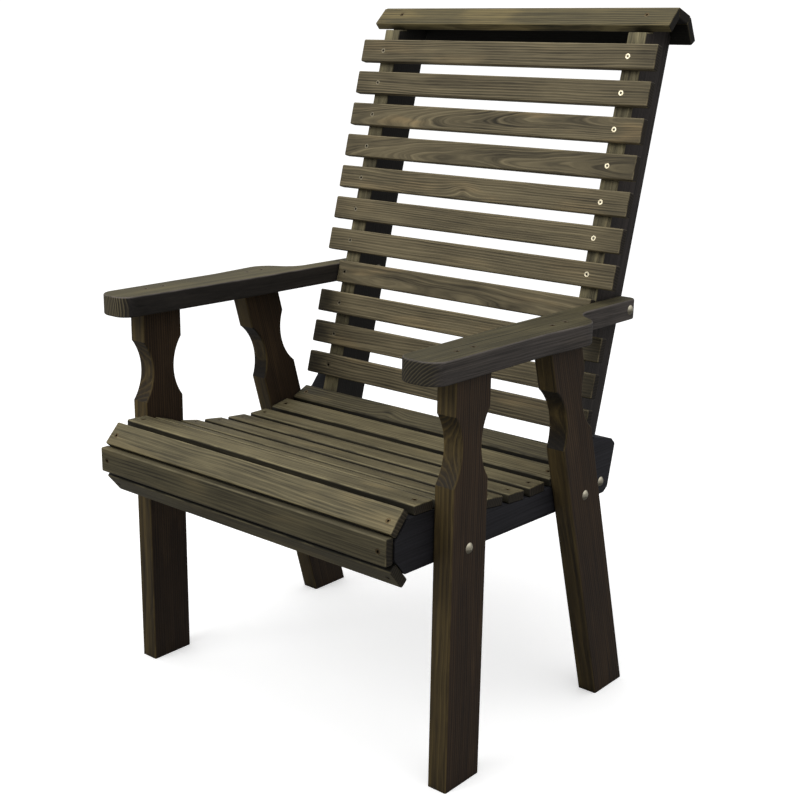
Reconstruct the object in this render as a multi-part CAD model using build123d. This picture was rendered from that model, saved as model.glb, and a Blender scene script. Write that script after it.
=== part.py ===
from build123d import *
import os
from math import sin, cos, radians, sqrt

# Wooden armchair, millimetres, +Z up, the sitter faces -Y.
# The layout below is measured from the front face of the front legs (y = 0) and the
# centre plane (x = 0); the parts are saved with the origin on the floor, in the middle
# of the chair's overall width and depth.

# ---- stock -------------------------------------------------------------------
plank = 35.0          # thickness of legs, rails, uprights and arms
board = 83.0          # width of legs and uprights
slat_t = 16.0         # slat thickness
slat_w = 42.0         # slat width
ease = 3.0            # eased edges
end_ease = 2.4        # round-over of the slat ends

# ---- plan --------------------------------------------------------------------
x_leg = 353.0                   # outer face of a leg
x_rail = x_leg - plank          # outer face of a seat rail, also the slat ends
x_post = x_rail - plank         # outer face of a back upright
x_in = x_post - plank           # inner face of a back upright

# ---- legs --------------------------------------------------------------------
leg_top = 645.0
rear_y0 = 424.0                 # front edge of the rear leg at the floor
rake = 0.294                    # rear leg: forward run per unit of height
waist_z = 538.0                 # middle of the hourglass cut
waist_chord, waist_depth = 106.0, 18.0
bolt_z = 385.0

# ---- back --------------------------------------------------------------------
lean = 14.5                     # back leans this far from vertical
back_y, back_z = 559.7, 1096.7  # top front corner of the first back slat
back_pitch, back_count = 60.5, 11
short_slat = 7                  # this slat stops at the uprights to let the arms pass
post_foot = 366.0               # lowest point of an upright

# ---- crest: outer corners of its three slats, from the front edge over the top ----
crest = [(590.6, 1126.0), (622.0, 1156.0), (664.0, 1142.0), (686.0, 1102.0)]

# ---- seat: front top edge (y, z) and slope of each slat, front to back ----
seat = [(-43.0, 465.0, -2.0), (17.0, 457.0, -18.4), (74.4, 439.0, -11.0),
        (131.0, 429.0, -7.5), (188.0, 421.5, -4.8), (244.6, 417.2, 0.0),
        (301.0, 418.5, 11.0), (358.0, 426.5, 23.5)]
nose_y, nose_z, nose_slope = -92.7, 435.1, 47.0
apron_y, apron_z = -86.0, 387.3            # inner face, bottom edge
under_y, under_z, under_slope = -65.0, 345.0, -50.0
front_half = 315.5                         # half length of the nose, apron and under slats
rail_front_z, rail_rear_z = 367.0, 352.0   # bottom edge of the seat rail

# ---- arms --------------------------------------------------------------------
arm_out, arm_rear = 373.0, 547.0
tail_x = x_post + 34.0
curve_y0, curve_y1 = 302.0, 392.0
flare_y = 205.0                 # ahead of this the inner edge runs outward
nose_front, nose_in, nose_out = -61.0, 291.5, 364.5     # the arm's rounded front end
tail_bolt = (525.0, leg_top + plank / 2)

# ---- fasteners ---------------------------------------------------------------
screw_d, screw_head, screw_len = 4.2, 9.4, 44.0
arm_screw_d, arm_screw_head, arm_screw_len = 5.0, 10.5, 72.0
bolt_d, head_d, head_h = 8.0, 17.0, 4.0
washer_d, washer_t, nut_af, nut_t = 20.0, 1.6, 13.0, 6.5
fit = 0.05                      # radial clearance of a shank in its hole

os.makedirs("parts", exist_ok=True)
foot_depth = board * sqrt(1 + rake**2)


def save(name, *solids):
    """Write one node, moved so that the origin is in the middle of the chair's depth."""
    placed = [Pos(0, -origin_y, 0) * s for s in solids]
    export_step(placed[0] if len(placed) == 1 else Compound(placed), f"parts/{name}.step")


def both(name, solid):
    """Save a left/right pair: the sitter's left hand is +X."""
    save(f"{name}_left", solid)
    save(f"{name}_right", mirror(solid, about=Plane.YZ))


def profile(face, x0, x1):
    """Extrude a face drawn in (y, z) from x0 to x1."""
    return extrude(Plane.YZ.offset(x0) * face, x1 - x0, dir=(1, 0, 0))


def side_edges(solid, x0, x1):
    """Edges of the two broad faces of a board lying between x0 and x1."""
    return [e for e in solid.edges() if e.bounding_box().size.X < 0.01
            and min(abs(e.center().X - x0), abs(e.center().X - x1)) < 0.01]


def eased_ends(solid):
    """Round over the edges of a cross slat's two ends."""
    box = solid.bounding_box()
    rims = [e for e in solid.edges() if e.bounding_box().size.X < 0.01
            and min(e.center().X - box.min.X, box.max.X - e.center().X) < 0.01]
    return fillet(rims, end_ease)


class Slat:
    """A cross slat: lower/front outer corner, slope of its face, half length."""

    def __init__(self, y, z, slope, half=x_rail):
        self.y, self.z, self.half = y, z, half
        self.u = (cos(radians(slope)), sin(radians(slope)))
        self.n = (self.u[1], -self.u[0])        # from the outer face into the slat

    def at(self, along, depth):
        return (self.y + self.u[0] * along + self.n[0] * depth,
                self.z + self.u[1] * along + self.n[1] * depth)

    def solid(self):
        corners = [self.at(0, 0), self.at(slat_w, 0), self.at(slat_w, slat_t), self.at(0, slat_t)]
        face = fillet(Polygon(*corners, align=None).vertices(), ease)
        return eased_ends(profile(face, -self.half, self.half))


def crossbar(corners, half):
    """Cross slat from four (y, z) corners, long edges eased."""
    face = fillet(Polygon(*corners, align=None).vertices(), ease - 0.5)
    return eased_ends(profile(face, -half, half))


def wood_screw(x, foot, n, d, head, length):
    """Countersunk screw: head centre (y, z) = foot, driven along n; returns screw and hole."""
    frame = Plane(origin=(x, foot[0], foot[1]), x_dir=(1, 0, 0), z_dir=(0, n[0], n[1]))
    cone = (head - d) / 2
    tip = 4.0
    outline = [(0, 0.3), (head / 2 - 0.3, 0.3), (d / 2, cone), (d / 2, length - tip),
               (0, length)]
    body = revolve(Plane.XZ * Polygon(*outline, align=None), Axis.Z)
    socket = Cylinder(1.6, 2.8, align=(Align.CENTER, Align.CENTER, Align.MIN))
    for turn in (0, 60, 120):
        socket += Rot(0, 0, turn) * Box(4.6, 1.2, 2.8, align=(Align.CENTER, Align.CENTER, Align.MIN))
    body -= Pos(0, 0, 0.3) * socket
    bore = d / 2 + fit
    hole = [(0, -1), (head / 2 + 1.0, -1), (head / 2, 0), (bore, cone - fit), (bore, length),
            (0, length)]
    cut = revolve(Plane.XZ * Polygon(*hole, align=None), Axis.Z)
    return frame * body, frame * cut


def carriage_bolt(x, y, z, grip):
    """Domed bolt driven toward -X from the face at x; returns bolt, washer, nut and hole."""
    frame = Plane(origin=(x, y, z), x_dir=(0, 1, 0), z_dir=(1, 0, 0))
    ball = (head_d**2 / 4 + head_h**2) / (2 * head_h)
    dome = Pos(0, 0, head_h - ball) * Sphere(ball)
    dome = dome & Cylinder(head_d / 2, head_h, align=(Align.CENTER, Align.CENTER, Align.MIN))
    reach = grip + washer_t + nut_t + 2.5
    down = (Align.CENTER, Align.CENTER, Align.MAX)
    shank = Cylinder(bolt_d / 2, reach, align=down)
    ring = Cylinder(washer_d / 2, washer_t, align=down) - Cylinder(bolt_d / 2 + fit, 9, align=down)
    nut = extrude(RegularPolygon(nut_af / 2, 6, major_radius=False), -nut_t)
    nut -= Cylinder(bolt_d / 2 + fit, 30)
    hole = Cylinder(bolt_d / 2 + fit, grip + 20)
    return (frame * (dome + shank), frame * Pos(0, 0, -grip) * ring,
            frame * Pos(0, 0, -grip - washer_t) * nut, frame * Pos(0, 0, -grip / 2) * hole)


# ---- cross slats and their screws ---------------------------------------------------
lean_u = (sin(radians(lean)), cos(radians(lean)))       # up along the back
lean_n = (cos(radians(lean)), -sin(radians(lean)))      # from the back's face into it


def back_point(down, depth):
    return (back_y - lean_u[0] * down + lean_n[0] * depth,
            back_z - lean_u[1] * down + lean_n[1] * depth)


x_mid_post = x_post - plank / 2
x_mid_rail = x_rail - plank / 2

rail_holes, post_holes = [], []
seat_slats, back_slats, seat_screws, back_screws = [], [], [], []


def screw_slat(solid, spots, host, screws):
    """Drive screws at (x, foot, n) on both sides of a slat, boring the slat and its host."""
    for x, foot, n in spots:
        for side in (1, -1):
            screw, hole = wood_screw(side * x, foot, n, screw_d, screw_head, screw_len)
            solid -= hole
            screws.append(screw)
            if side == 1:
                host.append(hole)
    return solid


for y, z, slope in seat:
    s = Slat(y, z, slope)
    seat_slats.append(screw_slat(s.solid(), [(x_mid_rail, s.at(slat_w / 2, 0), s.n)],
                                 rail_holes, seat_screws))

nose = Slat(nose_y, nose_z, nose_slope, front_half)
nose_slat = screw_slat(nose.solid(), [(x_mid_rail, nose.at(slat_w / 2 - 3, 0), nose.n)],
                       rail_holes, seat_screws)
apron = Slat(apron_y - slat_t, apron_z, 90.0, front_half)
apron_slat = screw_slat(apron.solid(), [(x_mid_rail, apron.at(slat_w / 2, 0), apron.n)],
                        rail_holes, seat_screws)
under = Slat(under_y, under_z, 180 + under_slope, front_half)
under_slat = screw_slat(under.solid(), [(x_mid_rail, under.at(slat_w / 2, 0), under.n)],
                        rail_holes, seat_screws)

for i in range(back_count):
    low = back_point(i * back_pitch + slat_w, 0)
    s = Slat(low[0], low[1], 90 - lean, x_post if i == short_slat else x_rail)
    back_slats.append(screw_slat(s.solid(), [(x_mid_post, s.at(slat_w / 2, 0), s.n)],
                                 post_holes, back_screws))


# ---- crest ------------------------------------------------------------------------
def inward(a, b, t):
    """Line a-b moved t into the crest, as a point and a unit direction."""
    length = sqrt((b[0] - a[0])**2 + (b[1] - a[1])**2)
    d = ((b[0] - a[0]) / length, (b[1] - a[1]) / length)
    n = (d[1], -d[0])
    return (a[0] + n[0] * t, a[1] + n[1] * t), d, n


def crossing(p, d, q, e):
    k = ((q[0] - p[0]) * e[1] - (q[1] - p[1]) * e[0]) / (d[0] * e[1] - d[1] * e[0])
    return (p[0] + d[0] * k, p[1] + d[1] * k)


lines = [inward(crest[i], crest[i + 1], slat_t) for i in range(3)]
knee = [crossing(*lines[i][:2], *lines[i + 1][:2]) for i in range(2)]
square = [(crest[0][0] + lines[0][2][0] * slat_t, crest[0][1] + lines[0][2][1] * slat_t),
          (crest[3][0] + lines[2][2][0] * slat_t, crest[3][1] + lines[2][2][1] * slat_t)]
inner = [square[0], knee[0], knee[1], square[1]]
crest_slats, crest_screws = [], []
for i, dx in enumerate((0.0, 9.0, -9.0)):
    solid = crossbar([crest[i], crest[i + 1], inner[i + 1], inner[i]], x_rail)
    middle = ((crest[i][0] + crest[i + 1][0]) / 2, (crest[i][1] + crest[i + 1][1]) / 2)
    shift = (3.0, 0.0, -8.0)[i]
    foot = (middle[0] + lines[i][1][0] * shift, middle[1] + lines[i][1][1] * shift)
    crest_slats.append(screw_slat(solid, [(x_mid_post + dx, foot, lines[i][2])],
                                  post_holes, crest_screws))

# ---- back uprights ----------------------------------------------------------------
front_face, rear_face = back_point(0, slat_t), back_point(0, slat_t + board)
brow = crossing(square[0], (1, 0), front_face, lean_u)
nape = crossing(*lines[2][:2], rear_face, lean_u)
foot_rear = crossing((0, post_foot), (1, 0), rear_face, lean_u)
foot_front = (foot_rear[0] - lean_n[0] * board, foot_rear[1] - lean_n[1] * board)
post = profile(Polygon(foot_front, foot_rear, nape, knee[1], knee[0], square[0], brow, align=None),
               x_in, x_post)
post = fillet(side_edges(post, x_in, x_post), ease)

# ---- seat rails -------------------------------------------------------------------
top_line = []
for y, z, slope in seat:
    s = Slat(y, z, slope)
    top_line += [s.at(0, slat_t), s.at(slat_w, slat_t)]
nose_low = crossing(nose.at(0, slat_t), nose.u, (apron_y, 0), (0, 1))
nose_high = crossing(nose.at(0, slat_t), nose.u, top_line[0], (1, 0))
under_high = crossing(under.at(0, slat_t), under.u, (apron_y, 0), (0, 1))
under_low = crossing(under.at(0, slat_t), under.u, (0, rail_front_z), (1, 0))
horn = [(430.0, 459.5), (487.0, 445.0), (499.0, 434.0), (482.0, 360.0), (470.0, rail_rear_z)]
rail_face = Polygon(under_low, under_high, nose_low, nose_high, *top_line, *horn, align=None)
rail_face = fillet(rail_face.vertices().sort_by_distance((492.0, 440.0))[0:2], 6.0)
rail_face = fillet(rail_face.vertices().sort_by_distance((476.0, 356.0))[0:2], 6.0)
rail = profile(rail_face, x_post, x_rail)

# ---- legs -------------------------------------------------------------------------
waist_r = waist_chord**2 / (8 * waist_depth) + waist_depth / 2


def leg(y_foot, slope):
    """Leg with an hourglass waist; slope is the forward run per unit of height."""
    wide = board * sqrt(1 + slope**2)
    lean_y = slope * leg_top
    face = Polygon((y_foot, 0), (y_foot + wide, 0), (y_foot + wide - lean_y, leg_top),
                   (y_foot - lean_y, leg_top), align=None)
    n = (1 / sqrt(1 + slope**2), slope / sqrt(1 + slope**2))
    y_mid = y_foot + wide / 2 - slope * waist_z
    for side in (1, -1):
        reach = side * (board / 2 + waist_r - waist_depth)
        face -= Pos(y_mid + n[0] * reach, waist_z + n[1] * reach) * Circle(waist_r)
    solid = profile(face, x_rail, x_leg)
    long_edges = [e for e in side_edges(solid, x_rail, x_leg) if 1 < e.center().Z < leg_top - 1]
    return fillet(long_edges, ease)


front_leg = leg(0, 0)
rear_leg = leg(rear_y0, rake)

# ---- arms -------------------------------------------------------------------------
middle = ((arm_out + tail_x) / 2, (curve_y0 + curve_y1) / 2)
outline = [Line((x_post, arm_rear), (x_post, flare_y)),
           Line((x_post, flare_y), (nose_in, nose_front)),
           Line((nose_in, nose_front), (nose_out, nose_front)),
           Line((nose_out, nose_front), (nose_out, flare_y)),
           Line((nose_out, flare_y), (arm_out, curve_y0)),
           TangentArc((arm_out, curve_y0), middle, tangent=(0, 1)),
           TangentArc((tail_x, curve_y1), middle, tangent=(0, -1)),
           Line((tail_x, curve_y1), (tail_x, arm_rear)),
           Line((tail_x, arm_rear), (x_post, arm_rear))]
plan = make_face(outline)
for corner, radius in (((nose_in, nose_front), 27.0), ((nose_out, nose_front), 31.0),
                       ((x_post, flare_y), 300.0), ((nose_out, flare_y), 300.0),
                       ((tail_x, arm_rear), 14.0), ((x_post, arm_rear), 8.0)):
    plan = fillet(plan.vertices().sort_by_distance(corner)[0], radius)
arm = extrude(Pos(0, 0, leg_top) * plan, plank, dir=(0, 0, 1))
arm = fillet(arm.faces().sort_by(Axis.Z)[-1].edges() + arm.faces().sort_by(Axis.Z)[0].edges(), ease)

# ---- screws through the arms into the legs ------------------------------------------
arm_screws, leg_screw_holes = [], []
rear_top = rear_y0 + foot_depth / 2 - rake * leg_top
for y in (22.0, 60.0, rear_top - 18, rear_top + 18):
    for side in (1, -1):
        screw, hole = wood_screw(side * (x_leg - plank / 2), (y, leg_top + plank), (0, -1),
                                 arm_screw_d, arm_screw_head, arm_screw_len)
        arm_screws.append(screw)
        if side == 1:
            leg_screw_holes.append(hole)
for hole in leg_screw_holes:
    arm -= hole
    front_leg -= hole
    rear_leg -= hole

# ---- carriage bolts ---------------------------------------------------------------
rear_bolt_y = rear_y0 + foot_depth / 2 - rake * bolt_z
stations = {
    "leg": [(x_leg, board / 2, bolt_z, 2 * plank), (x_leg, rear_bolt_y, bolt_z, 2 * plank)],
    "rail": [(x_rail, 459.0, 374.0, 2 * plank)],
    "arm": [(tail_x, *tail_bolt, tail_x - x_in)],
}
groups = {}
for key, spots in stations.items():
    groups[key] = {"bolts": [], "washers": [], "nuts": []}
    for spot in spots:
        bolt, washer, nut, hole = carriage_bolt(*spot)
        for kind, solid in (("bolts", bolt), ("washers", washer), ("nuts", nut)):
            groups[key][kind] += [solid, mirror(solid, about=Plane.YZ)]
        if key == "leg":
            front_leg -= hole
            rear_leg -= hole
            rail -= hole
        if key == "rail":
            rail -= hole
            post -= hole
        if key == "arm":
            arm -= hole
            post -= hole
for hole in rail_holes:
    rail -= hole
for hole in post_holes:
    post -= hole

# ---- save -------------------------------------------------------------------------
origin_y = (apron_slat.bounding_box().min.Y + crest_slats[2].bounding_box().max.Y) / 2
both("front_leg", front_leg)
both("rear_leg", rear_leg)
both("seat_rail", rail)
both("back_upright", post)
both("armrest", arm)
for i, solid in enumerate(seat_slats):
    save(f"seat_slat_{i + 1:02d}", solid)
save("seat_nose_slat", nose_slat)
save("seat_apron_slat", apron_slat)
save("seat_under_slat", under_slat)
for i, solid in enumerate(back_slats):
    save(f"back_slat_{i + 1:02d}", solid)
for name, solid in zip(("front", "top", "rear"), crest_slats):
    save(f"crest_slat_{name}", solid)
save("seat_slat_screws", *seat_screws)
save("back_slat_screws", *back_screws)
save("crest_slat_screws", *crest_screws)
save("arm_screws", *arm_screws)
for key in groups:
    for kind in groups[key]:
        save(f"{key}_{kind}", *groups[key][kind])
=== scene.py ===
"""Wooden armchair: stained pine boards, brass screws and zinc carriage bolts."""

import math
import random

import bpy
from mathutils import Matrix, Vector


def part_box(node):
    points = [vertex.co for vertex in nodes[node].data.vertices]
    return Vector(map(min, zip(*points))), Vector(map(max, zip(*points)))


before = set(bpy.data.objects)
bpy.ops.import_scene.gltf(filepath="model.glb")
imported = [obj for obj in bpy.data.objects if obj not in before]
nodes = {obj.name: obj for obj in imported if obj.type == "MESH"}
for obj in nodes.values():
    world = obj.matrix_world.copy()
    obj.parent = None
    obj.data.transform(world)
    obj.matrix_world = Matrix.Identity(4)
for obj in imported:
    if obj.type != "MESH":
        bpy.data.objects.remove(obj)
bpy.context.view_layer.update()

LEAN = math.radians(14.5)            # the back's lean from vertical
RAKE = math.atan(0.294)              # the rear legs' lean from vertical
BACK_SLATS = 11                      # counted from the top
SHORT_SLAT = 8                       # the arms' tails pass beside this one
SEAT_SLOPES = (-2, -18.4, -11, -7.5, -4.8, 0, 11, 23.5)   # degrees, front slat to back slat
NOSE_SLOPE, APRON_SLOPE, UNDER_SLOPE = 47, 90, 130        # degrees

FLOOR_HALF = 9.0
CAMERA_PLACE = (1.41229, -1.68440, 1.09627)
YAW, PITCH, ROLL = (math.radians(a) for a in (39.801, -15.370, 0.924))
WHITE = (1, 1, 1, 1)


# ---- small helpers for shader trees ---------------------------------------------------

class Tree:
    """Makes and wires the nodes of one shader tree."""

    def __init__(self, tree):
        self.tree = tree

    def plug(self, socket, value):
        """Links a socket or sets a constant; None leaves the default."""
        if isinstance(value, bpy.types.NodeSocket):
            self.tree.links.new(value, socket)
        elif value is not None:
            socket.default_value = value

    def add(self, kind, settings=None, **inputs):
        """New node of a kind, with its properties and its inputs by name."""
        n = self.tree.nodes.new("ShaderNode" + kind)
        for key, value in (settings or {}).items():
            setattr(n, key, value)
        for key, value in inputs.items():
            self.plug(n.inputs[key.replace("_", " ")], value)
        return n

    def math(self, operation, *values, clamp=False):
        """Result of a Math node."""
        n = self.tree.nodes.new("ShaderNodeMath")
        n.operation = operation
        n.use_clamp = clamp
        for socket, value in zip(n.inputs, values):
            self.plug(socket, value)
        return n.outputs[0]

    def vmath(self, operation, *values):
        """Result of a Vector Math node."""
        n = self.tree.nodes.new("ShaderNodeVectorMath")
        n.operation = operation
        for socket, value in zip(n.inputs, values):
            self.plug(socket, value)
        scalar = operation in ("DOT_PRODUCT", "LENGTH")
        return n.outputs["Value" if scalar else "Vector"]

    def scale(self, value, by):
        """Product of two values."""
        return self.math("MULTIPLY", value, by)

    def centred(self, value, middle=0.5):
        """Value less its middle."""
        return self.math("SUBTRACT", value, middle)

    def axes(self, vector):
        """The x, y and z of a vector."""
        return self.add("SeparateXYZ", Vector=vector).outputs

    def noise(self, vector, scale, detail=2.0, roughness=0.5):
        """Noise of a vector scaled per axis; 0 to 1, mostly 0.3 to 0.7."""
        stretched = self.vmath("MULTIPLY", vector, scale)
        n = self.add("TexNoise", Vector=stretched, Scale=1.0, Detail=detail,
                     Roughness=roughness)
        return n.outputs[0]

    def ramp(self, value, stops):
        """Grey levels at places along 0 to 1, linear in between."""
        n = self.tree.nodes.new("ShaderNodeValToRGB")
        points = n.color_ramp.elements
        while len(points) < len(stops):
            points.new(0.5)
        for point, (at, level) in zip(points, stops):
            point.position = at
            point.color = (level, level, level, 1)
        self.plug(n.inputs[0], value)
        return n.outputs[0]

    def span(self, value, low, high, to_low=0.0, to_high=1.0):
        """Smooth step between low and high."""
        n = self.tree.nodes.new("ShaderNodeMapRange")
        n.interpolation_type = "SMOOTHSTEP"
        for socket, v in zip(n.inputs, (value, low, high, to_low, to_high)):
            self.plug(socket, v)
        return n.outputs[0]

    def mix(self, factor, a, b, blend="MIX"):
        """Colour a turned into b by a factor."""
        n = self.tree.nodes.new("ShaderNodeMix")
        n.data_type = "RGBA"
        n.blend_type = blend
        self.plug(n.inputs[0], factor)
        self.plug(n.inputs[6], a)
        self.plug(n.inputs[7], b)
        return n.outputs[2]

    def tinted(self, colour, tint):
        """Product of two colours."""
        return self.mix(1.0, colour, tint, "MULTIPLY")


def new_material(name):
    """An empty material and the helper for its tree."""
    material = bpy.data.materials.new(name)
    material.use_nodes = True
    material.node_tree.nodes.clear()
    return material, Tree(material.node_tree)


def rgb(r, g, b):
    """Scene-linear colour from display values of 0 to 255."""
    def linear(v):
        v /= 255
        return v / 12.92 if v <= 0.04045 else ((v + 0.055) / 1.055) ** 2.4
    return (linear(r), linear(g), linear(b), 1.0)


# ---- the grain of one board, in the board's own frame -----------------------------------

TIMBER_INPUTS = {
    # x runs along the board, y across its face, z out of its face, in metres
    "Position": None,
    "Seed": 0.0,
    "Pith Y": 0.05,          # where the heart of the trunk lies, seen from the board
    "Pith Z": -0.03,
    "Runout": 0.01,          # slope of the grain to the board
    "Ring": 0.0042,          # growth ring width
    "Wave": 0.006,           # how far slow waves push the rings
    "Rings": 0.50,           # how strongly the rings show
    "Knot X": 9.0,
    "Knot Y": 0.0,
    "Knot Size": 0.012,
}


def timber_group():
    """Growth rings, fibres, streaks and stain blotches as values for a board material."""
    group = bpy.data.node_groups.new("timber", "ShaderNodeTree")
    for name, default in TIMBER_INPUTS.items():
        kind = "NodeSocketVector" if default is None else "NodeSocketFloat"
        socket = group.interface.new_socket(name=name, in_out="INPUT", socket_type=kind)
        if default is not None:
            socket.default_value = default
    for name in ("Shade", "Ring", "Fibre", "Blotch", "Patch"):
        group.interface.new_socket(name=name, in_out="OUTPUT", socket_type="NodeSocketFloat")
    t = Tree(group)
    given = group.nodes.new("NodeGroupInput").outputs
    out = group.nodes.new("NodeGroupOutput").inputs

    # each board is cut from its own place in the noise; scales are per metre, along the board
    # and across it twice
    shift = t.add("CombineXYZ", X=t.scale(given["Seed"], 7.31), Y=t.scale(given["Seed"], 3.17),
                  Z=t.scale(given["Seed"], 5.71)).outputs[0]
    place = t.vmath("ADD", given["Position"], shift)
    x, y, z = t.axes(given["Position"])
    slow = t.centred(t.noise(place, (2.6, 11, 11)))
    brisk = t.centred(t.noise(place, (11, 60, 60)))

    # a knot: rings swell round it
    kx = t.math("DIVIDE", t.centred(x, given["Knot X"]), given["Knot Size"])
    ky = t.math("DIVIDE", t.centred(y, given["Knot Y"]), given["Knot Size"])
    reach = t.math("ADD", t.scale(t.scale(kx, kx), 0.22), t.scale(ky, ky))
    swell = t.math("EXPONENT", t.scale(reach, -0.45))
    core = t.math("EXPONENT", t.scale(reach, -3.2))

    # distance from the heart of the trunk, in rings
    run = t.scale(x, given["Runout"])
    dy = t.centred(t.centred(y, given["Pith Y"]), run)
    dz = t.centred(t.centred(z, given["Pith Z"]), run)
    radius = t.math("SQRT", t.math("ADD", t.scale(dy, dy), t.scale(dz, dz)))
    for push, size in ((slow, t.scale(given["Wave"], 2.6)), (brisk, 0.0030),
                       (swell, given["Knot Size"])):
        radius = t.math("ADD", radius, t.scale(push, size))
    phase = t.math("FRACT", t.math("DIVIDE", radius, given["Ring"]))
    # a ring brightens to a thin pale line and drops back
    ring = t.ramp(phase, [(0.0, 0.25), (0.16, 0.0), (0.50, 0.15), (0.74, 0.55), (0.88, 1.0),
                          (1.0, 0.25)])

    # fibres follow the rings, so they bend with them
    bent = t.add("CombineXYZ", X=x, Y=radius, Z=t.scale(z, 0.4)).outputs[0]
    bent = t.vmath("ADD", bent, shift)
    fibre = t.noise(bent, (14, 1200, 1200), roughness=0.6)
    streak = t.noise(bent, (2.6, 300, 300), 4, 0.72)
    broad = t.noise(bent, (1.6, 75, 75))
    blotch = t.noise(place, (7, 17, 17), 3, 0.55)
    patch = t.noise(t.vmath("ADD", place, (3.1, 8.7, 1.9)), (5.5, 22, 22))

    shade = t.scale(t.centred(ring, 0.35), given["Rings"])
    for part, weight in ((fibre, 1.0), (streak, 1.6), (broad, 0.50), (blotch, 0.75)):
        shade = t.math("ADD", shade, t.scale(t.centred(part), weight))
    shade = t.math("ADD", shade, 0.5)
    shade = t.math("SUBTRACT", shade, t.scale(core, 0.35), clamp=True)
    for name, value in (("Shade", shade), ("Ring", ring), ("Fibre", fibre), ("Blotch", blotch),
                        ("Patch", patch)):
        t.plug(out[name], value)
    return group


TIMBER = timber_group()

# stain tones: (dark, light, tan) as display colours
SLAT = ((46, 40, 26), (137, 125, 95), (166, 142, 100))
SEAT = ((42, 37, 23), (134, 124, 92), (158, 140, 98))
CREST = ((42, 38, 22), (120, 109, 74), (140, 124, 80))
LEG = ((34, 25, 11), (91, 76, 43), (128, 110, 62))
RAIL = ((13, 13, 17), (52, 51, 57), (60, 57, 58))
POST = ((42, 38, 26), (120, 112, 84), (140, 124, 90))
ARM = ((34, 31, 29), (98, 91, 86), (104, 94, 78))


def scaled(colour, by):
    """A colour made brighter or darker."""
    return tuple(min(v * by, 1.0) for v in colour[:3]) + (1.0,)


def grain_frame(t, name, along, out):
    """Position in a board's own frame, from its middle, and its half length."""
    low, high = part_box(name)
    turn = Matrix((along, out.cross(along), out))
    local = t.add("Mapping", {"vector_type": "POINT"}, Vector=t.add("TexCoord").outputs["Object"],
                  Location=-(turn @ ((low + high) / 2)),
                  Rotation=turn.to_euler("XYZ")).outputs[0]
    return local, (high - low).dot(Vector(map(abs, along))) / 2


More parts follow.
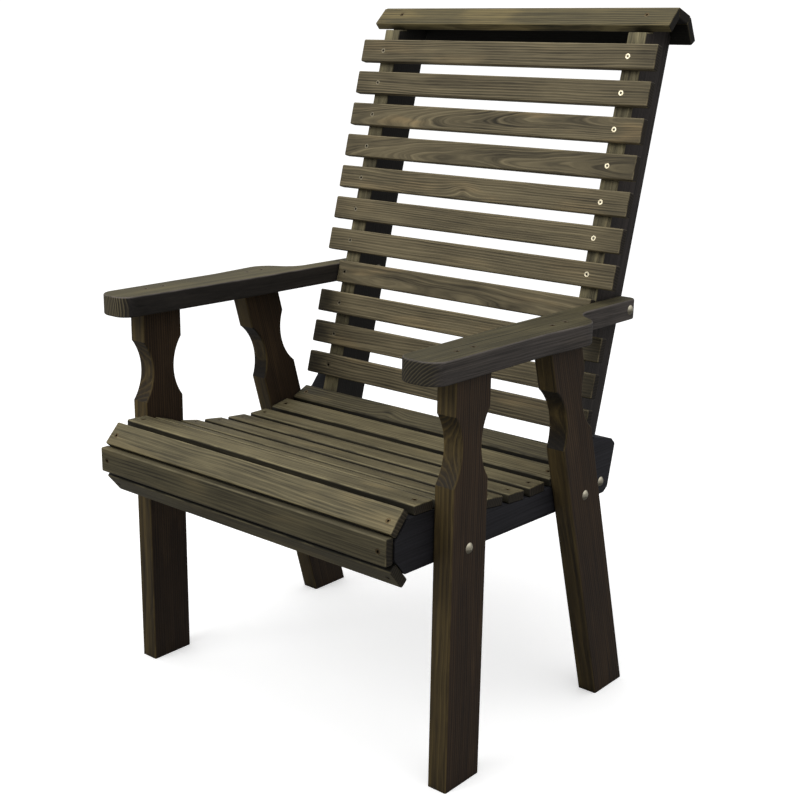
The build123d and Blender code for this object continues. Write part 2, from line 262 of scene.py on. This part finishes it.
def board(name, along, out, tones, seed, tone=1.0, tan=0.3, side=None, wear=0.6, end=0.85,
          ring_end=0.35, sawn_tint=(225, 214, 238), cut_from=0.35, soak_and_shadow=0.0, fade=None,
          dim=None, pith=None, **grain):
    """Gives a CAD board its stained timber.

    along, out    directions of the grain and out of the board's face
    tone, tan     brightness of the stain, and how much tan its patches have
    side          tint of the broad faces (those that face along out)
    wear          how strongly arrises show: pale above, worn and with painted highlight, painted shade below
    end           how much darker end grain is; ring_end is how light its rings stay, sawn_tint
                  its tint, and cut_from how far a face tilts to the grain to count as end grain
    soak          how much darker the two ends are: stain soaked into them, and painted shadow
    fade          brightness of the low and the high end
    dim           a direction, and how much painted shade darkens the faces turned that way
    pith, grain   place of the trunk's heart, and other inputs of the timber group
    """
    rnd = random.Random(seed)
    along, out = Vector(along).normalized(), Vector(out).normalized()
    material, t = new_material("pine_" + name)
    local, reach = grain_frame(t, name, along, out)
    pith = pith or (rnd.choice((-1, 1)) * rnd.uniform(0.05, 0.15), -rnd.uniform(0.005, 0.03))
    settings = {"Seed": float(seed), "Pith Y": pith[0], "Pith Z": pith[1],
                "Runout": rnd.uniform(-0.015, 0.015), "Ring": rnd.uniform(0.0040, 0.0054)}
    settings.update({key.replace("_", " ").title(): value for key, value in grain.items()})
    timber = material.node_tree.nodes.new("ShaderNodeGroup")
    timber.node_tree = TIMBER
    t.plug(timber.inputs["Position"], local)
    for key, value in settings.items():
        timber.inputs[key].default_value = value
    shade, ring, fibre, blotch, patch = timber.outputs

    tone *= rnd.uniform(0.95, 1.05)
    dark, light, warm = (scaled(rgb(*c), tone) for c in tones)
    colour = t.mix(shade, dark, light)
    warmth = t.scale(t.span(patch, 0.54, 0.68), tan)
    colour = t.mix(t.scale(warmth, shade), colour, warm)

    normal = t.add("NewGeometry").outputs["Normal"]
    facing = t.math("ABSOLUTE", t.vmath("DOT_PRODUCT", normal, tuple(out)))
    lengthwise = t.math("ABSOLUTE", t.vmath("DOT_PRODUCT", normal, tuple(along)))
    if side:
        colour = t.mix(t.span(facing, 0.75, 0.98), colour, t.tinted(colour, rgb(*side)))
    length = t.axes(local)[0]
    if fade:
        colour = t.tinted(colour, t.span(length, -reach, reach, *fade))
    # the two ends are darker, for soaked-in stain and for painted shadow
    if soak_and_shadow:
        edge = 0.03                             # width of the darkened zone's edge, in metres
        ragged = t.scale(t.noise(local, (30, 70, 70)), 0.07)
        end_dark = t.span(t.math("ADD", t.math("ABSOLUTE", length), ragged), reach - edge,
                     reach + edge, 0.0, soak_and_shadow)
        colour = t.mix(end_dark, colour, scaled(dark, 0.7))
    # painted shade darkens the faces turned one way
    if dim:
        toward, much = dim
        turned = t.vmath("DOT_PRODUCT", normal, tuple(toward))
        colour = t.mix(t.span(turned, 0.35, 0.75, 0.0, much), colour, scaled(dark, 0.15))

    # end grain drinks more stain, and its rings stand out
    cut = t.span(lengthwise, cut_from, cut_from + 0.6)
    sawn = t.tinted(t.mix(ring, scaled(dark, 0.45), scaled(light, ring_end)), rgb(*sawn_tint))
    colour = t.mix(t.scale(cut, end), colour, sawn)

    # arrises that face up are paler, partly worn wood and partly painted highlight, and those
    # that face down get painted shade; an arris is where the normal is half way between two faces
    square = t.scale(facing, facing)
    arris = t.scale(t.scale(square, t.math("SUBTRACT", 1.0, square)), 4.0)
    arris_patches = t.span(t.noise(local, (22, 60, 60), 3), 0.34, 0.66, 0.25, 1.0)
    upward = t.span(t.axes(normal)[2], -0.45, -0.05)
    arris_wear_and_light = t.mix(upward, scaled(dark, 0.4), scaled(light, 1.25))
    colour = t.mix(t.scale(t.scale(arris, arris_patches), wear), colour, arris_wear_and_light)

    # painted shade: darker where boards meet and in crevices
    crevice_shade = t.add("AmbientOcclusion", {"samples": 3}, Distance=0.014).outputs["AO"]
    colour = t.mix(t.span(crevice_shade, 0.15, 0.72, 0.92, 0.0), colour, scaled(dark, 0.10))

    rough = t.math("ADD", t.scale(fibre, 0.22), 0.46)
    rough = t.math("ADD", rough, t.scale(blotch, 0.16))
    height = t.math("ADD", t.scale(fibre, 0.6), t.scale(ring, 0.5))
    bump = t.add("Bump", Strength=0.45, Distance=0.0005, Height=height).outputs[0]
    shader = t.add("BsdfPrincipled", Base_Color=colour, Roughness=rough, Normal=bump)
    shader.inputs["Specular IOR Level"].default_value = 0.32
    t.add("OutputMaterial", Surface=shader.outputs[0])
    put(name, material)


def put(name, material):
    """Gives a CAD node its material."""
    node = nodes[name]
    node.data.materials.clear()
    node.data.materials.append(material)


# ---- boards -----------------------------------------------------------------------------

X, Y, Z = Vector((1, 0, 0)), Vector((0, 1, 0)), Vector((0, 0, 1))
back_up = Vector((0, math.sin(LEAN), math.cos(LEAN)))
back_out = Vector((0, -math.cos(LEAN), math.sin(LEAN)))


def sloped(degrees):
    """Outward direction of a seat slat whose face climbs to the rear by this much."""
    a = math.radians(degrees)
    return Vector((0, -math.sin(a), math.cos(a)))


back_looks = {
    2: dict(tone=0.97, tan=0.1),
    3: dict(pith=(0.004, -0.020), runout=0.05, wave=0.010, rings=0.42, ring=0.0027, tan=0.8),
    4: dict(pith=(-0.012, -0.024), runout=0.03, wave=0.010, rings=0.32, ring=0.003, tan=0.7),
    5: dict(pith=(0.05, -0.02), wave=0.008, rings=0.45, knot_x=-0.02, knot_y=-0.004,
            knot_size=0.008, tan=0.4),
    6: dict(tone=0.97, tan=0.1),
    7: dict(tan=0.2, pith=(0.09, -0.01)),
    8: dict(tan=0.8, pith=(-0.01, -0.03), wave=0.009, rings=0.45),
    9: dict(tone=0.97),
    10: dict(tone=0.86, tan=0.5),
    11: dict(tone=0.76, tan=0.5),
}
for i in range(1, BACK_SLATS + 1):
    # darker ends: soaked-in stain, and on the slats below the arms' tails mostly painted shadow
    # of the arms
    board(f"back_slat_{i:02d}", X, back_out, SLAT, 10 + i, ring_end=0.2, end=0.95,
          soak_and_shadow=0.75 if i > SHORT_SLAT else 0.2, **back_looks.get(i, {}))

seat_looks = {
    1: dict(tone=1.04, tan=0.6, wear=0.8),
    2: dict(tone=1.0, tan=0.4),
    8: dict(tone=0.62, tan=1.0, knot_x=-0.09, knot_size=0.010),
}
for i, slope in enumerate(SEAT_SLOPES, 1):
    look = {"tone": 1.03, **seat_looks.get(i, {})}
    # painted shade on the faces turned to the front
    board(f"seat_slat_{i:02d}", X, sloped(slope), SEAT, 40 + i, dim=(-Y, 0.85), rings=0.4,
          ring_end=0.25, end=0.95, **look)
# painted shade on the edges that face the neighbouring slat
board("seat_nose_slat", X, sloped(NOSE_SLOPE), SEAT, 51, tone=0.98, tan=0.5, wear=0.9,
      rings=0.25, dim=(sloped(NOSE_SLOPE - 90), 0.9))
board("seat_apron_slat", X, sloped(APRON_SLOPE), SEAT, 52, tone=0.54, tan=0.7, wear=1.0,
      rings=0.25)
board("seat_under_slat", X, sloped(UNDER_SLOPE), SEAT, 53, tone=0.58, wear=1.0, rings=0.3,
      dim=(sloped(UNDER_SLOPE - 90), 0.9))

# painted shade: the crest's inner faces and its end grain are made nearly black
crest_look = dict(tone=0.95, tan=0.8, rings=0.8, end=0.97, ring_end=0.02)
for part, seed, out in (("front", 61, (0, -0.69, 0.72)), ("top", 62, (0, 0.32, 0.95)),
                        ("rear", 63, (0, 0.88, 0.47))):
    board("crest_slat_" + part, X, out, CREST, seed, dim=(-Vector(out), 0.97), **crest_look)

rear_leg_up = Vector((0, -math.sin(RAKE), math.cos(RAKE)))
arm_looks = {
    "left": dict(pith=(-0.09, -0.09), tone=1.0, ring_end=0.8),
    "right": dict(pith=(0.12, -0.01), tone=1.35, ring_end=1.3),
}
for n, hand, outward in ((1, "left", X), (2, "right", -X)):
    inward = -outward
    # painted shade on the faces turned inward
    leg_look = dict(wave=0.004, side=(212, 196, 232), sawn_tint=(245, 235, 200),
                    fade=(0.84, 1.14), dim=(inward, 0.25))
    board("front_leg_" + hand, Z, outward, LEG, 70 + n, cut_from=0.02, ring_end=0.5, **leg_look)
    board("rear_leg_" + hand, rear_leg_up, outward, LEG, 74 + n, cut_from=-0.12, ring_end=0.12,
          end=1.0, **leg_look)
    board("seat_rail_" + hand, Y, outward, RAIL, 78 + n, tan=0.1, wear=0.3, rings=0.15,
          fade=(0.7, 1.05))
    board("back_upright_" + hand, back_up, outward, POST, 82 + n, tone=1.7,
          side=(124, 121, 152), wear=0.25, dim=(inward, 0.75))
    board("armrest_" + hand, Y, Z, ARM, 86 + n, tan=0.2, side=(242, 241, 184),
          sawn_tint=(250, 245, 190), wave=0.002, rings=0.2, fade=(0.94, 1.18),
          dim=(inward, 0.82), **arm_looks[hand])


# ---- metal ------------------------------------------------------------------------------

def metal(name, base, tarnish, rough, worn=0.5, right_shade=0.0):
    """Metal with tarnish in patches, fine scratches, dirt and painted shade in its recesses,
    and a painted reflection that darkens the lower half of each head.

    right_shade is how much darker the pieces on the chair's right are, as painted shade.
    """
    material, t = new_material(name)
    clean, tarnish_and_shade = rgb(*base), rgb(*tarnish)
    point = t.add("TexCoord").outputs["Object"]
    spots = t.noise(point, (420, 420, 420), 3, 0.6)
    scratch = t.noise(point, (2600, 500, 900), 2, 0.7)
    colour = t.mix(t.scale(t.span(spots, 0.36, 0.66), worn), clean, tarnish_and_shade)
    # painted shade: the pieces on the chair's right are darker
    colour = t.mix(t.span(t.axes(point)[0], -0.05, 0.05, right_shade, 0.0), colour,
                   scaled(tarnish_and_shade, 0.3))
    # dirt and painted shade darken the recesses
    recess_grime_and_shade = t.add("AmbientOcclusion", {"samples": 4, "only_local": True}, Distance=0.004)
    colour = t.mix(t.span(recess_grime_and_shade.outputs["AO"], 0.35, 0.95), scaled(tarnish_and_shade, 0.12), colour)
    # painted reflection: the lower half of a head is darker
    tilt = t.axes(t.add("NewGeometry").outputs["Normal"])[2]
    colour = t.mix(t.span(tilt, -0.25, 0.25, 0.75, 0.0), colour, scaled(tarnish_and_shade, 0.25))
    roughness = t.math("ADD", t.scale(spots, 0.25), rough)
    bump = t.add("Bump", Strength=0.25, Distance=0.0002, Height=scratch).outputs[0]
    shader = t.add("BsdfPrincipled", Base_Color=colour, Roughness=roughness, Normal=bump)
    shader.inputs["Metallic"].default_value = 1.0
    t.add("OutputMaterial", Surface=shader.outputs[0])
    return material


brass = metal("brass", (244, 234, 204), (128, 108, 70), 0.20, right_shade=0.6)
dark_brass = metal("dark_brass", (120, 104, 76), (58, 48, 36), 0.34)
zinc = metal("zinc", (240, 232, 208), (116, 102, 74), 0.15, worn=0.25)
put("back_slat_screws", brass)
for name in ("crest_slat_screws", "seat_slat_screws", "arm_screws"):
    put(name, dark_brass)
for key in ("leg", "rail", "arm"):
    for kind in ("bolts", "washers", "nuts"):
        put(f"{key}_{kind}", zinc)


# ---- floor, light and camera ------------------------------------------------------------

mesh = bpy.data.meshes.new("floor")
corners = [(x * FLOOR_HALF, y * FLOOR_HALF, 0) for x, y in ((-1, -1), (1, -1), (1, 1), (-1, 1))]
mesh.from_pydata(corners, [], [(0, 1, 2, 3)])
floor = bpy.data.objects.new("floor", mesh)
bpy.context.scene.collection.objects.link(floor)
pale = bpy.data.materials.new("pale_floor")
pale.use_nodes = True
t = Tree(pale.node_tree)
shader = pale.node_tree.nodes["Principled BSDF"]
# the camera sees it almost white, and it throws less light back at the chair
haze = t.noise(t.add("TexCoord").outputs["Object"], (1.3, 1.3, 1.3), 3)
seen = t.mix(haze, rgb(250, 250, 250), rgb(255, 255, 255))
direct = t.add("LightPath").outputs["Is Camera Ray"]
t.plug(shader.inputs["Base Color"], t.mix(direct, rgb(150, 150, 150), seen))
shader.inputs["Roughness"].default_value = 0.9
shader.inputs["Specular IOR Level"].default_value = 0.1
shader.inputs["Emission Color"].default_value = WHITE
t.plug(shader.inputs["Emission Strength"], t.scale(direct, 0.42))
mesh.materials.append(pale)

world = bpy.data.worlds.new("studio")
bpy.context.scene.world = world
world.use_nodes = True
t = Tree(world.node_tree)
# the sky lights the chair from above, and the camera sees a white backdrop
height = t.axes(t.add("TexCoord").outputs["Generated"])[2]
sky = world.node_tree.nodes["Background"]
sky.inputs["Color"].default_value = WHITE
t.plug(sky.inputs["Strength"], t.span(height, -0.1, 0.9, 0.22, 0.80))
backdrop = t.add("Background", Color=WHITE, Strength=1.1)
blend = t.add("MixShader")
t.plug(blend.inputs[0], t.add("LightPath").outputs["Is Camera Ray"])
t.plug(blend.inputs[1], sky.outputs[0])
t.plug(blend.inputs[2], backdrop.outputs[0])
t.plug(world.node_tree.nodes["World Output"].inputs["Surface"], blend.outputs[0])


def softbox(name, place, aim, size, power):
    """A rectangular light of size (metres) and power (watts), turned at a point."""
    light = bpy.data.lights.new(name, "AREA")
    light.shape = "RECTANGLE"
    light.size, light.size_y = size
    light.energy = power
    lamp = bpy.data.objects.new(name, light)
    lamp.location = place
    lamp.rotation_euler = (Vector(aim) - Vector(place)).to_track_quat("-Z", "Y").to_euler()
    bpy.context.scene.collection.objects.link(lamp)


softbox("key_light", (-0.9, -3.2, 3.0), (0, 0, 0.5), (2.6, 2.2), 48)
softbox("top_light", (0.2, -0.2, 3.6), (0, 0, 0.4), (2.4, 2.4), 26)

lens = bpy.data.cameras.new("camera")
camera = bpy.data.objects.new("camera", lens)
bpy.context.scene.collection.objects.link(camera)
ahead = Vector((-math.sin(YAW) * math.cos(PITCH), math.cos(YAW) * math.cos(PITCH),
                math.sin(PITCH)))
level_right = Vector((math.cos(YAW), math.sin(YAW), 0))
level_up = level_right.cross(ahead)
right = level_right * math.cos(ROLL) + level_up * math.sin(ROLL)
up = level_up * math.cos(ROLL) - level_right * math.sin(ROLL)
turned = Matrix((right, up, -ahead)).transposed().to_4x4()
camera.matrix_world = Matrix.Translation(CAMERA_PLACE) @ turned
lens.sensor_width = 36.0
lens.lens = 58.951
lens.clip_start, lens.clip_end = 0.05, 60.0
bpy.context.scene.camera = camera
bpy.context.scene.view_settings.view_transform = "Standard"
